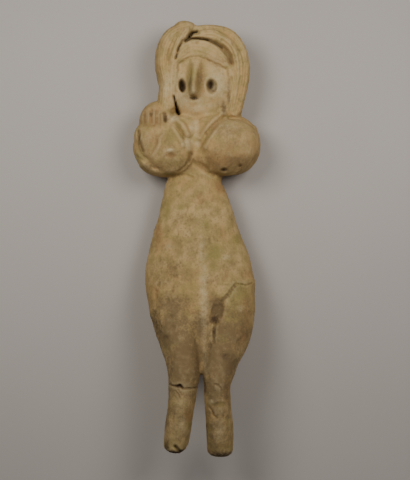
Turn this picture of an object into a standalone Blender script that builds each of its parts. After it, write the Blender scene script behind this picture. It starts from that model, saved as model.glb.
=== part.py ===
"""A hand-modelled figurine of a seated woman in fired clay, lying on its back.

The face looks up along +Z, the head points along +Y and the figure's own left side is
at +X. It rests on flats worn on the back of its hair, shoulders and buttocks, and its
bent legs stand clear of the table.
"""

import math

import bmesh
import bpy
import numpy as np
from mathutils import Matrix, Vector

# Driving dimensions, in metres. The figure is laid out in millimetres of its real
# height, so every place and size below grows and shrinks with HEIGHT.
HEIGHT = 0.110
LAYOUT_HEIGHT = 110.0
MM = HEIGHT / LAYOUT_HEIGHT

# How deep the resting flats are worn into the back.
WORN_FLAT = 0.45

# How the clay is worked: the grain of the kneading and the smoothing of the joins.
GRAIN = 0.42
SMOOTHING_PASSES = 5
TRIANGLES = 9000

CLAY_COLOUR = (0.40, 0.30, 0.165, 1.0)
CLAY_ROUGHNESS = 0.88

SIDES_OF_A_ROLL = 28
STEPS_BETWEEN_STATIONS = 5
ROUNDING_RINGS = 4
ROUNDING_ANGLE = math.radians(82)
BLUNTNESS = 0.45

# A station of a roll is x, y and z of its centre, half its width and half its depth.
TORSO = [
    (0.3, 33.0, 6.2, 5.0, 3.4),
    (0.2, 28.0, 6.2, 7.2, 4.4),
    (0.0, 21.5, 6.5, 8.4, 4.8),
    (-0.6, 15.2, 7.2, 6.9, 4.6),
    (-0.8, 12.4, 7.3, 7.6, 4.6),
    (-0.6, 8.9, 7.3, 8.7, 5.0),
    (-0.3, 3.8, 7.3, 10.2, 6.0),
    (-0.2, -1.4, 7.3, 11.8, 7.0),
    (0.1, -6.6, 7.5, 13.4, 7.8),
    (0.5, -11.7, 8.0, 14.0, 8.4),
    (0.9, -16.8, 9.2, 13.6, 8.2),
    (1.1, -21.0, 10.8, 11.4, 7.4),
]
RIGHT_LEG = [
    (-6.3, -12.0, 8.4, 7.0, 7.4),
    (-5.6, -20.6, 11.0, 6.5, 7.8),
    (-4.4, -26.5, 14.0, 5.4, 7.4),
    (-3.6, -31.4, 16.8, 4.4, 6.6),
    (-3.3, -34.4, 18.2, 4.1, 6.0),
    (-3.5, -37.4, 19.2, 3.7, 5.4),
    (-3.8, -41.1, 19.6, 3.4, 4.9),
    (-4.3, -44.9, 19.3, 3.2, 4.6),
    (-4.8, -48.7, 18.8, 3.3, 4.5),
    (-5.4, -53.2, 17.9, 3.0, 4.3),
]
LEFT_LEG = [
    (7.5, -12.0, 8.4, 7.4, 7.4),
    (7.5, -20.6, 11.0, 7.1, 7.8),
    (7.0, -26.5, 14.0, 6.1, 7.4),
    (5.8, -31.4, 16.8, 4.6, 6.6),
    (5.3, -34.4, 18.2, 4.1, 6.0),
    (5.0, -37.4, 19.2, 3.4, 5.4),
    (5.3, -41.1, 19.6, 3.0, 4.9),
    (5.4, -44.9, 19.3, 3.2, 4.6),
    (5.6, -48.7, 18.8, 3.4, 4.5),
    (5.7, -54.0, 17.9, 3.2, 4.3),
]
BETWEEN_THE_THIGHS = [
    (0.7, -12.0, 8.4, 3.0, 7.2),
    (0.8, -20.6, 11.0, 3.0, 7.2),
    (0.9, -23.6, 12.0, 3.0, 6.7),
    (0.9, -26.8, 13.2, 2.8, 5.9),
    (1.0, -30.6, 14.8, 2.0, 5.0),
    (1.1, -34.4, 16.4, 1.0, 4.3),
]
NOSE = [
    (-0.2, 44.4, 12.0, 1.7, 1.7),
    (-0.6, 41.4, 12.4, 1.3, 2.6),
    (-0.9, 38.4, 12.8, 1.1, 3.2),
    (-1.0, 36.2, 13.0, 1.1, 3.6),
    (-1.0, 35.5, 12.8, 1.0, 3.3),
]
FRINGE = [
    (-5.7, 43.6, 10.9, 1.0, 1.2),
    (-4.8, 45.2, 11.5, 2.0, 1.6),
    (-2.7, 47.0, 11.9, 2.9, 1.8),
    (0.2, 47.6, 12.1, 3.3, 1.9),
    (3.6, 46.4, 12.0, 3.1, 1.8),
    (6.6, 44.5, 11.5, 2.2, 1.6),
    (8.4, 42.6, 11.0, 1.3, 1.2),
]
RIGHT_TRESS = [
    (-2.6, 52.4, 8.0, 2.2, 5.4),
    (-6.2, 50.9, 7.4, 2.6, 5.6),
    (-8.1, 47.6, 7.0, 2.6, 5.8),
    (-8.6, 43.4, 6.8, 2.4, 5.8),
    (-8.0, 39.3, 6.8, 2.0, 5.6),
    (-8.0, 35.6, 7.0, 2.2, 5.6),
    (-8.2, 32.0, 7.4, 2.6, 5.2),
]
LEFT_TRESS = [
    (-0.8, 51.6, 6.8, 1.9, 5.0),
    (3.6, 51.9, 6.8, 2.0, 5.4),
    (7.8, 50.1, 6.8, 2.2, 5.6),
    (10.2, 46.6, 6.8, 2.3, 5.7),
    (10.8, 42.2, 6.8, 2.3, 5.6),
    (10.6, 38.0, 6.8, 2.2, 5.4),
    (9.9, 34.2, 6.8, 2.0, 5.2),
    (9.2, 30.6, 6.6, 1.9, 4.8),
]
STRAND_BY_THE_RIGHT_CHEEK = [
    (-3.0, 52.0, 12.2, 1.1, 1.4),
    (-4.7, 48.9, 12.1, 1.0, 1.3),
    (-5.9, 45.2, 11.8, 1.2, 1.3),
    (-6.5, 40.9, 11.2, 1.6, 1.5),
    (-6.8, 36.8, 11.1, 1.4, 1.4),
    (-6.9, 32.6, 11.1, 1.1, 1.2),
]
OUTER_STRAND = [
    (-0.2, 52.5, 10.4, 1.0, 1.6),
    (3.9, 52.6, 10.6, 1.1, 1.7),
    (8.4, 51.3, 10.6, 1.2, 1.8),
    (11.2, 47.9, 10.4, 1.2, 1.8),
    (12.3, 43.9, 10.0, 1.2, 1.8),
    (12.1, 39.6, 9.8, 1.2, 1.8),
    (11.3, 35.6, 9.8, 1.1, 1.7),
    (10.4, 31.6, 9.4, 1.0, 1.6),
]
MIDDLE_STRAND = [
    (1.0, 51.0, 12.0, 1.1, 1.5),
    (4.4, 50.8, 12.1, 1.4, 1.6),
    (7.7, 48.9, 12.1, 1.4, 1.6),
    (9.8, 45.9, 11.8, 1.4, 1.5),
    (10.5, 42.0, 11.4, 1.4, 1.4),
    (10.3, 38.2, 11.1, 1.3, 1.3),
    (9.6, 34.4, 10.8, 1.1, 1.2),
    (8.9, 31.4, 10.3, 0.9, 1.1),
]
STRAND_BY_THE_LEFT_CHEEK = [
    (8.3, 43.2, 11.3, 0.9, 1.1),
    (8.8, 40.4, 11.3, 1.2, 1.3),
    (8.6, 37.0, 11.1, 1.2, 1.2),
    (8.1, 33.8, 10.8, 1.0, 1.1),
    (7.6, 31.6, 10.2, 0.8, 0.9),
]
RIGHT_FOREARM = [
    (-13.8, 26.0, 6.0, 2.0, 4.4),
    (-14.8, 22.2, 6.2, 2.0, 4.6),
    (-12.9, 18.3, 6.8, 2.0, 4.8),
    (-8.8, 16.7, 7.8, 1.9, 4.8),
    (-4.6, 17.3, 8.8, 1.7, 4.0),
]
LEFT_FOREARM = [
    (13.4, 27.4, 6.0, 2.0, 4.4),
    (14.2, 22.8, 6.2, 2.0, 4.6),
    (11.8, 18.8, 6.8, 2.0, 4.8),
    (8.2, 17.1, 7.8, 1.9, 4.8),
    (3.4, 17.3, 8.8, 1.7, 4.0),
]
ROLLS = [
    TORSO,
    RIGHT_LEG,
    LEFT_LEG,
    BETWEEN_THE_THIGHS,
    NOSE,
    FRINGE,
    RIGHT_TRESS,
    LEFT_TRESS,
    STRAND_BY_THE_RIGHT_CHEEK,
    OUTER_STRAND,
    MIDDLE_STRAND,
    STRAND_BY_THE_LEFT_CHEEK,
    RIGHT_FOREARM,
    LEFT_FOREARM,
]

# A lump is its centre, its three half sizes and its turn about Z in degrees.
LUMPS = {
    "skull": ((1.2, 40.6, 6.8), (8.4, 9.8, 6.0), 0),
    "face": ((1.3, 38.4, 7.8), (8.8, 9.4, 5.5), 0),
    "forehead": ((0.7, 43.2, 8.4), (6.8, 4.4, 4.6), 0),
    "chin": ((0.9, 33.2, 7.6), (6.0, 4.6, 4.7), 0),
    "bridge of the nose": ((-0.6, 39.4, 11.6), (2.4, 5.0, 2.6), 0),
    "left corner of the neck": ((6.7, 31.0, 9.2), (1.5, 1.6, 2.6), 0),
    "back of the hair": ((0.2, 42.6, 4.6), (11.0, 11.2, 4.9), 0),
    "knot of hair": ((-3.1, 53.1, 9.4), (2.9, 1.7, 3.6), -4),
    "chest": ((-0.3, 25.2, 7.2), (8.6, 8.0, 5.2), 0),
    "right shoulder": ((-9.4, 22.8, 6.4), (7.0, 7.6, 6.2), 0),
    "left shoulder": ((9.2, 23.2, 6.4), (7.2, 7.8, 6.2), 0),
    "right breast": ((-6.6, 21.2, 9.8), (6.6, 6.2, 5.4), -14),
    "left breast": ((8.0, 22.4, 9.8), (8.0, 7.2, 6.4), 20),
    "right of the chest": ((-3.9, 26.0, 8.6), (5.6, 4.6, 5.0), 38),
    "left of the chest": ((3.9, 26.4, 8.6), (5.8, 4.8, 5.2), -38),
    "inside of the right breast": ((-2.6, 20.6, 9.4), (3.4, 3.4, 3.8), -20),
    "inside of the left breast": ((1.8, 20.4, 9.4), (3.6, 3.2, 3.8), 30),
    "right fist": ((-10.7, 29.4, 8.2), (4.3, 5.0, 5.6), -18),
    "right wrist": ((-11.1, 25.2, 8.6), (5.3, 4.6, 4.9), 0),
    "pad of the right hand": ((-12.1, 23.6, 10.6), (3.1, 4.5, 3.4), 8),
    "right buttock": ((-5.6, -10.6, 5.2), (7.4, 8.6, 5.8), 0),
    "left buttock": ((6.8, -10.6, 5.2), (7.4, 8.6, 5.8), 0),
}

# A punched eye is its centre, its three half sizes and its turn about Z in degrees.
EYE_HOLES = {
    "right_eye_punch": ((-3.9, 38.0, 12.4), (0.8, 1.6, 2.8), 8),
    "left_eye_punch": ((3.6, 37.7, 12.4), (1.2, 1.75, 2.6), -6),
}

# A drawn line is its half width, its depth and the places it runs through, seen from
# the front. A negative depth raises a ridge.
DRAWN_LINES = [
    # The gap between the hair and the fringe, and the strands' own grooves.
    (0.5, 3.0, [(-3.6, 49.3), (-2.4, 49.9), (0.2, 49.9), (2.7, 49.5)]),
    (0.7, 2.0, [(2.7, 49.5), (4.7, 48.4), (6.3, 47.4)]),
    (0.7, 1.0, [(6.3, 47.4), (8.3, 45.4), (8.6, 43.8)]),
    (0.5, 1.8, [(-3.6, 50.2), (-2.9, 51.2), (-1.9, 51.6), (-0.2, 51.8)]),
    (0.45, 1.0, [(-3.7, 49.3), (-4.7, 47.6), (-5.4, 45.0)]),
    (0.5, 0.4, [(-4.2, 52.2), (-5.7, 49.9), (-7.0, 47.3), (-7.8, 44.5)]),
    (0.5, 0.4, [(6.0, 51.4), (8.6, 49.6), (10.4, 47.3), (11.1, 42.6), (10.6, 36.9), (9.6, 31.3)]),
    (0.5, 0.7, [(8.6, 39.6), (8.1, 36.3), (7.3, 33.5)]),
    (0.35, 0.5, [(0.0, 49.8), (0.0, 48.4)]),
    # The pinched sides of the nose, the nostrils, the gaps beside the chin and the line under it.
    (0.9, 0.35, [(-2.7, 42.5), (-2.9, 38.4)]),
    (1.0, 0.4, [(1.4, 42.5), (1.2, 37.0)]),
    (0.45, 0.5, [(-1.8, 34.7), (-1.0, 34.4), (-0.2, 34.7)]),
    (0.4, 1.2, [(-5.9, 34.8), (-5.6, 33.3), (-5.3, 32.4)]),
    (0.6, 2.4, [(-5.4, 32.6), (-4.8, 31.2)]),
    (0.6, 0.4, [(6.9, 33.2), (6.4, 31.6)]),
    (0.5, 0.3, [(-4.2, 30.6), (-2.4, 30.0), (1.0, 29.8), (3.4, 30.2), (5.2, 31.0)]),
    # The crossed bands over the chest.
    (0.8, -0.8, [(-6.7, 30.1), (-5.4, 29.7), (-4.2, 28.3), (-3.1, 26.8), (-2.4, 25.3)]),
    (0.5, 0.5, [(-6.2, 28.6), (-4.9, 27.1), (-3.9, 25.5), (-3.4, 24.3)]),
    (0.7, -0.7, [(-7.4, 28.0), (-6.2, 26.8), (-5.2, 25.5), (-4.2, 24.3), (-3.6, 22.5)]),
    (1.0, -0.5, [(-2.4, 23.4), (-2.3, 21.8)]),
    (0.7, -0.8, [(6.0, 30.9), (4.5, 29.3), (3.0, 27.6), (1.7, 26.0), (0.7, 24.5)]),
    (0.5, 0.6, [(6.3, 29.6), (4.5, 28.3), (3.2, 26.8), (2.2, 25.5)]),
    (0.9, -0.6, [(7.3, 29.1), (5.5, 27.6), (4.0, 26.0), (3.0, 24.3), (1.7, 22.2)]),
    (0.6, 1.0, [(-1.5, 20.4), (-2.0, 18.8)]),
    # The right hand's fingers, the pad under them and the folds of the forearms.
    (0.5, 0.4, [(-13.5, 31.2), (-13.6, 28.6)]),
    (0.5, 0.5, [(-11.8, 31.6), (-11.8, 28.4)]),
    (0.5, 0.5, [(-10.1, 31.4), (-10.0, 27.8)]),
    (0.7, -0.7, [(-7.4, 28.0), (-8.5, 26.0), (-9.5, 24.3), (-9.7, 22.7), (-10.5, 21.2), (-11.5, 19.9)]),
    (0.5, 1.0, [(-15.0, 26.4), (-14.8, 24.1), (-14.4, 22.6), (-13.9, 21.3)]),
    (0.5, 0.9, [(-8.3, 30.7), (-8.0, 28.9)]),
    (0.5, 0.4, [(-15.5, 19.8), (-14.2, 19.1), (-12.9, 18.3), (-11.9, 17.2), (-10.1, 16.8)]),
    (0.5, 0.5, [(10.0, 17.0), (7.2, 16.4), (5.4, 16.6)]),
    # The fold between the thighs, and the damage.
    (1.0, 0.5, [(1.0, -34.6), (1.0, -28.0), (1.1, -22.0)]),
    (0.5, 0.8, [(0.9, -37.0), (1.0, -34.6)]),
    (0.4, 0.8, [(-7.4, -37.0), (-5.9, -37.2), (-3.0, -37.8), (0.0, -37.8)]),
    (0.5, 0.8, [(-4.9, -37.2), (-3.9, -37.2)]),
    (0.5, 0.8, [(-5.4, -52.4), (-4.5, -53.4), (-3.5, -54.2)]),
    (0.4, 0.6, [(13.8, -12.5), (9.8, -12.5), (8.2, -14.5), (6.2, -16.5), (5.0, -20.0), (4.0, -26.6)]),
    (1.2, 0.4, [(5.2, -17.0), (4.9, -19.4), (4.5, -21.6)]),
]


def through(stations):
    """More stations, on the smooth curve through the given ones."""
    rows = np.array(stations, float)
    rows = np.vstack([2 * rows[0] - rows[1], rows, 2 * rows[-1] - rows[-2]])
    curve = []
    for before, start, end, after in zip(rows, rows[1:], rows[2:], rows[3:]):
        for t in np.linspace(0, 1, STEPS_BETWEEN_STATIONS, endpoint=False):
            line = 2 * start + (end - before) * t
            bend = (2 * before - 5 * start + 4 * end - after) * t**2
            twist = (3 * start - before - 3 * end + after) * t**3
            curve.append((line + bend + twist) / 2)
    return [*curve, rows[-2]]


def rounded_end(last, inner):
    """Shrinking stations that close a roll in a dome past its last station."""
    outward = (last[:3] - inner[:3]) / np.linalg.norm(last[:3] - inner[:3])
    reach = last[3:].min() * BLUNTNESS
    dome = []
    for ring in range(1, ROUNDING_RINGS + 1):
        angle = ROUNDING_ANGLE * ring / ROUNDING_RINGS
        centre = last[:3] + outward * reach * math.sin(angle)
        dome.append(np.append(centre, last[3:] * math.cos(angle)))
    return dome


def add_ring(clay, station, heading):
    """An upright ellipse of clay across the heading, as its edges."""
    across = Vector((0, 0, 1)).cross(heading)
    place = Matrix.Identity(4)
    place.col[0].xyz = across * station[3] * MM
    place.col[1].xyz = (0, 0, station[4] * MM)
    place.col[2].xyz = heading * MM
    place.col[3].xyz = Vector(station[:3]) * MM
    made = bmesh.ops.create_circle(clay, segments=SIDES_OF_A_ROLL, radius=1, matrix=place)
    return list({edge for vert in made["verts"] for edge in vert.link_edges})


def add_roll(clay, stations):
    """A rolled length of clay along its stations, domed at both ends."""
    body = through(stations)
    start = rounded_end(body[0], body[1])
    end = rounded_end(body[-1], body[-2])
    path = [*reversed(start), *body, *end]
    rings = []
    for index, station in enumerate(path):
        ahead = path[min(index + 1, len(path) - 1)]
        behind = path[max(index - 1, 0)]
        heading = Vector((ahead[0] - behind[0], ahead[1] - behind[1], 0)).normalized()
        rings.append(add_ring(clay, station, heading))
    for ring, following in zip(rings, rings[1:]):
        bmesh.ops.bridge_loops(clay, edges=ring + following)
    for ring in (rings[0], rings[-1]):
        bmesh.ops.contextual_create(clay, geom=ring)


def add_lump(clay, centre, half_sizes, turn):
    """A ball of clay pressed to its three half sizes."""
    place = Matrix.Translation(Vector(centre) * MM)
    place = place @ Matrix.Rotation(math.radians(turn), 4, "Z")
    place = place @ Matrix.Diagonal((*(size * MM for size in half_sizes), 1))
    bmesh.ops.create_icosphere(clay, subdivisions=4, radius=1, matrix=place)


def new_object(name, clay):
    """An object in the scene that holds the clay."""
    bmesh.ops.recalc_face_normals(clay, faces=clay.faces)
    mesh = bpy.data.meshes.new(name)
    clay.to_mesh(mesh)
    clay.free()
    made = bpy.data.objects.new(name, mesh)
    bpy.context.scene.collection.objects.link(made)
    return made


def laid_up():
    """All the rolls and lumps that the maker pressed together, still apart."""
    clay = bmesh.new()
    for roll in ROLLS:
        add_roll(clay, roll)
    for lump in LUMPS.values():
        add_lump(clay, *lump)
    return new_object("figurine", clay)


def knead(figurine):
    """Joins the rolls and lumps into one skin and smooths the joins."""
    join = figurine.modifiers.new("knead", "REMESH")
    join.mode = "VOXEL"
    join.voxel_size = GRAIN * MM
    smooth = figurine.modifiers.new("smooth the joins", "SMOOTH")
    smooth.iterations = SMOOTHING_PASSES
    graph = bpy.context.evaluated_depsgraph_get()
    skin = bpy.data.meshes.new_from_object(figurine.evaluated_get(graph))
    figurine.modifiers.clear()
    apart = figurine.data
    figurine.data = skin
    bpy.data.meshes.remove(apart)


def distance_to_line(places, line):
    """How far each place is from a line of points, seen from the front."""
    nearest = np.full(len(places), np.inf)
    for start, end in zip(line, line[1:]):
        start, run = np.array(start), np.array(end) - np.array(start)
        share = np.clip((places - start) @ run / (run @ run), 0, 1)
        nearest = np.minimum(nearest, np.linalg.norm(places - start - share[:, None] * run, axis=1))
    return nearest


def vectors_of(mesh, name):
    """The places or the normals of a mesh's vertices, as rows of x, y and z."""
    values = np.empty(len(mesh.vertices) * 3, np.float32)
    mesh.vertices.foreach_get(name, values)
    return values.reshape(-1, 3).astype(float)


def draw_lines(mesh):
    """Presses the creases, cracks and grooves into the front of the skin."""
    places = vectors_of(mesh, "co")
    facing = np.clip(vectors_of(mesh, "normal")[:, 2] * 2, 0, 1)
    pressed = np.zeros(len(places))
    for half_width, depth, line in DRAWN_LINES:
        away = distance_to_line(places[:, :2] / MM, line)
        pressed += depth * np.exp(-((away / half_width) ** 2))
    places[:, 2] -= pressed * facing * MM
    mesh.vertices.foreach_set("co", places.astype(np.float32).ravel())
    mesh.update()


def take_away(figurine, name, clay):
    """Cuts a shape out of the figurine. The cutter moves with it."""
    cutter = new_object(name, clay)
    cutter.hide_render = True
    cutter.display_type = "WIRE"
    cutter.parent = figurine
    cut = figurine.modifiers.new(name, "BOOLEAN")
    cut.operation = "DIFFERENCE"
    cut.solver = "EXACT"
    cut.object = cutter


def punch_eyes(figurine):
    for name, (centre, half_sizes, turn) in EYE_HOLES.items():
        clay = bmesh.new()
        add_lump(clay, centre, half_sizes, turn)
        take_away(figurine, name, clay)


def thin_out(figurine):
    """Brings the skin down to the triangles that its shape needs."""
    thin = figurine.modifiers.new("thin out", "DECIMATE")
    thin.ratio = TRIANGLES / (2 * len(figurine.data.polygons))


def wear_flats(figurine):
    """Wears the back down to the flats that the figurine rests on."""
    table = bmesh.new()
    size = 2 * HEIGHT
    place = Matrix.Translation((0, 0, WORN_FLAT * MM - size / 2))
    bmesh.ops.create_cube(table, size=size, matrix=place)
    take_away(figurine, "table_top", table)


def fired_clay():
    material = bpy.data.materials.new("fired_clay")
    material.use_nodes = True
    shader = material.node_tree.nodes["Principled BSDF"]
    shader.inputs["Base Color"].default_value = CLAY_COLOUR
    shader.inputs["Roughness"].default_value = CLAY_ROUGHNESS
    shader.inputs["Metallic"].default_value = 0.0
    return material


def lay_on_table(figurine):
    """Sets the flats on the plane of the origin, and the middle of the figurine over it."""
    bpy.context.view_layer.update()
    graph = bpy.context.evaluated_depsgraph_get()
    places = vectors_of(figurine.evaluated_get(graph).data, "co")
    low, high = places.min(axis=0), places.max(axis=0)
    figurine.location = (-(low[0] + high[0]) / 2, -(low[1] + high[1]) / 2, -low[2])


def main():
    for leftover in list(bpy.data.objects):
        bpy.data.objects.remove(leftover)
    figurine = laid_up()
    knead(figurine)
    draw_lines(figurine.data)
    punch_eyes(figurine)
    thin_out(figurine)
    wear_flats(figurine)
    figurine.data.materials.clear()
    figurine.data.materials.append(fired_clay())
    lay_on_table(figurine)


main()
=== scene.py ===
"""The looks of a hand-modelled clay figurine of a seated woman, lying on its back.

Four steps make it: the clay is pressed together from rolls and lumps, then combed, carved
and worn, then fired, stained and given painted shade and highlights, and laid on a pale
table under soft light.
"""

import math

import bmesh
import bpy
import numpy as np
from bpy.props import FloatProperty, FloatVectorProperty, IntProperty, PointerProperty
from bpy.types import Operator, Panel, PropertyGroup
from mathutils import Matrix, Vector, noise


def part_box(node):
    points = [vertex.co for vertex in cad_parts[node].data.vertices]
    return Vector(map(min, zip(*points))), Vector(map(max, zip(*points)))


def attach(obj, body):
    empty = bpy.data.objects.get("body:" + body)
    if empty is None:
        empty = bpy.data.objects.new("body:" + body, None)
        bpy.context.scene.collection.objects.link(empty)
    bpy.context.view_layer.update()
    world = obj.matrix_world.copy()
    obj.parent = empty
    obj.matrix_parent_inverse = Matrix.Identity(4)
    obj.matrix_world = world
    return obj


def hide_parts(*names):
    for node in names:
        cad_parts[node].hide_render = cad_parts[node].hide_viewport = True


bl_info = {
    "name": "Clay Figurine",
    "version": (1, 0, 0),
    "blender": (4, 5, 0),
    "location": "View3D > Sidebar > Figurine",
    "description": "Models, fires and lights a hand-modelled clay figurine",
    "category": "Object",
}

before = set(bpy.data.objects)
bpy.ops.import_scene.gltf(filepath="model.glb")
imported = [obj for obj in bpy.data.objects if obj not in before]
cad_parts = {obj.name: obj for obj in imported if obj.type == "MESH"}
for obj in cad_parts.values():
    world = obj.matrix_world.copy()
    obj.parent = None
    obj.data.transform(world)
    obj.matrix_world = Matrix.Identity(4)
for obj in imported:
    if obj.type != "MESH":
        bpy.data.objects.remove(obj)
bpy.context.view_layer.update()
SOLID = "figurine"
PIECE = "clay_figurine"
MOVED = "moved from its layout"
SOLID_LOW, SOLID_HIGH = (Vector(corner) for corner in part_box(SOLID))

# The figure is laid out in millimetres of its height, and the frame gives its real size.
LAYOUT_HEIGHT = 110.3
MM = (SOLID_HIGH.y - SOLID_LOW.y) / LAYOUT_HEIGHT
TRUE_MM = 0.001

# How much of the back's roundness is worn down to flats.
WORN_FLAT = 0.45

SIDES_OF_A_ROLL = 32
ROUNDS_OF_A_LUMP = 5
STEPS_BETWEEN_STATIONS = 6
ROUNDING_RINGS = 4
ROUNDING_ANGLE = math.radians(82)
BLUNTNESS = 0.45

# A station of a roll is x, y and z of its centre, half its width and half its depth.
TORSO = [
    (0.3, 33.0, 6.2, 5.0, 3.4),
    (0.2, 28.0, 6.2, 7.2, 4.4),
    (0.0, 21.5, 6.5, 8.4, 4.8),
    (-0.6, 15.2, 7.2, 6.9, 4.6),
    (-0.8, 12.4, 7.3, 7.6, 4.6),
    (-0.6, 8.9, 7.3, 8.7, 5.0),
    (-0.3, 3.8, 7.3, 10.2, 6.0),
    (-0.2, -1.4, 7.3, 11.8, 7.0),
    (0.1, -6.6, 7.5, 13.4, 7.8),
    (0.5, -11.7, 8.0, 14.0, 8.4),
    (0.9, -16.8, 9.2, 13.6, 8.2),
    (1.1, -21.0, 10.8, 11.4, 7.4),
]
RIGHT_LEG = [
    (-6.3, -12.0, 8.4, 7.0, 7.4),
    (-5.6, -20.6, 11.0, 6.5, 7.8),
    (-4.4, -26.5, 14.0, 5.4, 7.4),
    (-3.6, -31.4, 16.8, 4.4, 6.6),
    (-3.3, -34.4, 18.2, 4.1, 6.0),
    (-3.5, -37.4, 19.2, 3.7, 5.4),
    (-3.8, -41.1, 19.6, 3.4, 4.9),
    (-4.3, -44.9, 19.3, 3.2, 4.6),
    (-4.8, -48.7, 18.8, 3.3, 4.5),
    (-5.4, -53.2, 17.9, 3.0, 4.3),
]
LEFT_LEG = [
    (7.5, -12.0, 8.4, 7.4, 7.4),
    (7.5, -20.6, 11.0, 7.1, 7.8),
    (7.0, -26.5, 14.0, 6.1, 7.4),
    (5.8, -31.4, 16.8, 4.6, 6.6),
    (5.3, -34.4, 18.2, 4.1, 6.0),
    (5.0, -37.4, 19.2, 3.4, 5.4),
    (5.0, -40.6, 19.6, 3.3, 4.9),
    (5.3, -44.6, 19.3, 3.3, 4.6),
    (5.6, -48.7, 18.8, 3.4, 4.5),
    (5.7, -54.0, 17.9, 3.2, 4.3),
]
BETWEEN_THE_THIGHS = [
    (0.7, -12.0, 8.4, 3.0, 7.2),
    (0.8, -20.6, 11.0, 3.0, 7.2),
    (0.9, -23.6, 12.0, 3.0, 6.7),
    (0.9, -26.8, 13.2, 2.8, 5.9),
    (1.0, -30.6, 14.8, 2.0, 5.0),
    (1.1, -34.4, 16.4, 1.0, 4.3),
]
NOSE = [
    (-0.2, 44.4, 12.0, 1.7, 1.7),
    (-0.6, 41.4, 12.4, 1.3, 2.6),
    (-0.9, 38.4, 12.8, 1.1, 3.2),
    (-1.0, 36.2, 13.0, 1.1, 3.6),
    (-1.0, 35.5, 12.8, 1.0, 3.3),
]
FRINGE = [
    (-5.7, 43.6, 10.9, 1.0, 1.2),
    (-4.8, 45.2, 11.5, 2.0, 1.6),
    (-2.7, 47.0, 11.9, 2.9, 1.8),
    (0.2, 47.6, 12.1, 3.3, 1.9),
    (3.6, 46.4, 12.0, 3.1, 1.8),
    (6.6, 44.5, 11.5, 2.2, 1.6),
    (8.4, 42.6, 11.0, 1.3, 1.2),
]
RIGHT_TRESS = [
    (-2.6, 52.4, 8.0, 2.2, 5.4),
    (-6.2, 50.9, 7.4, 2.6, 5.6),
    (-8.1, 47.6, 7.0, 2.6, 5.8),
    (-8.6, 43.4, 6.8, 2.4, 5.8),
    (-8.0, 39.3, 6.8, 2.0, 5.6),
    (-8.0, 35.6, 7.0, 2.2, 5.6),
    (-8.2, 32.0, 7.4, 2.6, 5.2),
]
LEFT_TRESS = [
    (-0.8, 51.6, 6.8, 1.9, 5.0),
    (3.6, 51.9, 6.8, 2.0, 5.4),
    (7.8, 50.1, 6.8, 2.2, 5.6),
    (10.2, 46.6, 6.8, 2.3, 5.7),
    (10.8, 42.2, 6.8, 2.3, 5.6),
    (10.6, 38.0, 6.8, 2.2, 5.4),
    (9.9, 34.2, 6.8, 2.0, 5.2),
    (9.2, 30.6, 6.6, 1.9, 4.8),
]
STRAND_BY_THE_RIGHT_CHEEK = [
    (-3.0, 52.0, 12.2, 1.1, 1.4),
    (-4.7, 48.9, 12.1, 1.0, 1.3),
    (-5.9, 45.2, 11.8, 1.2, 1.3),
    (-6.5, 40.9, 11.2, 1.6, 1.5),
    (-6.8, 36.8, 11.1, 1.4, 1.4),
    (-6.9, 32.6, 11.1, 1.1, 1.2),
]
OUTER_STRAND = [
    (-0.2, 52.5, 10.4, 1.0, 1.6),
    (3.9, 52.6, 10.6, 1.1, 1.7),
    (8.4, 51.3, 10.6, 1.2, 1.8),
    (11.2, 47.9, 10.4, 1.2, 1.8),
    (12.3, 43.9, 10.0, 1.2, 1.8),
    (12.1, 39.6, 9.8, 1.2, 1.8),
    (11.3, 35.6, 9.8, 1.1, 1.7),
    (10.4, 31.6, 9.4, 1.0, 1.6),
]
MIDDLE_STRAND = [
    (1.0, 51.0, 12.0, 1.1, 1.5),
    (4.4, 50.8, 12.1, 1.4, 1.6),
    (7.7, 48.9, 12.1, 1.4, 1.6),
    (9.8, 45.9, 11.8, 1.4, 1.5),
    (10.5, 42.0, 11.4, 1.4, 1.4),
    (10.3, 38.2, 11.1, 1.3, 1.3),
    (9.6, 34.4, 10.8, 1.1, 1.2),
    (8.9, 31.4, 10.3, 0.9, 1.1),
]
STRAND_BY_THE_LEFT_CHEEK = [
    (8.3, 43.2, 11.3, 0.9, 1.1),
    (8.8, 40.4, 11.3, 1.2, 1.3),
    (8.6, 37.0, 11.1, 1.2, 1.2),
    (8.1, 33.8, 10.8, 1.0, 1.1),
    (7.6, 31.6, 10.2, 0.8, 0.9),
]
RIGHT_FOREARM = [
    (-13.8, 26.0, 6.0, 2.0, 4.4),
    (-14.8, 22.2, 6.2, 2.0, 4.6),
    (-12.9, 18.3, 6.8, 2.0, 4.8),
    (-8.8, 16.7, 7.8, 1.9, 4.8),
    (-4.6, 17.3, 8.8, 1.7, 4.0),
]
LEFT_FOREARM = [
    (13.4, 27.4, 6.0, 2.0, 4.4),
    (14.2, 22.8, 6.2, 2.0, 4.6),
    (11.8, 18.8, 6.8, 2.0, 4.8),
    (8.2, 17.1, 7.8, 1.9, 4.8),
    (3.4, 17.3, 8.8, 1.7, 4.0),
]
ROLLS = [
    TORSO,
    RIGHT_LEG,
    LEFT_LEG,
    BETWEEN_THE_THIGHS,
    NOSE,
    FRINGE,
    RIGHT_TRESS,
    LEFT_TRESS,
    STRAND_BY_THE_RIGHT_CHEEK,
    OUTER_STRAND,
    MIDDLE_STRAND,
    STRAND_BY_THE_LEFT_CHEEK,
    RIGHT_FOREARM,
    LEFT_FOREARM,
]

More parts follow.
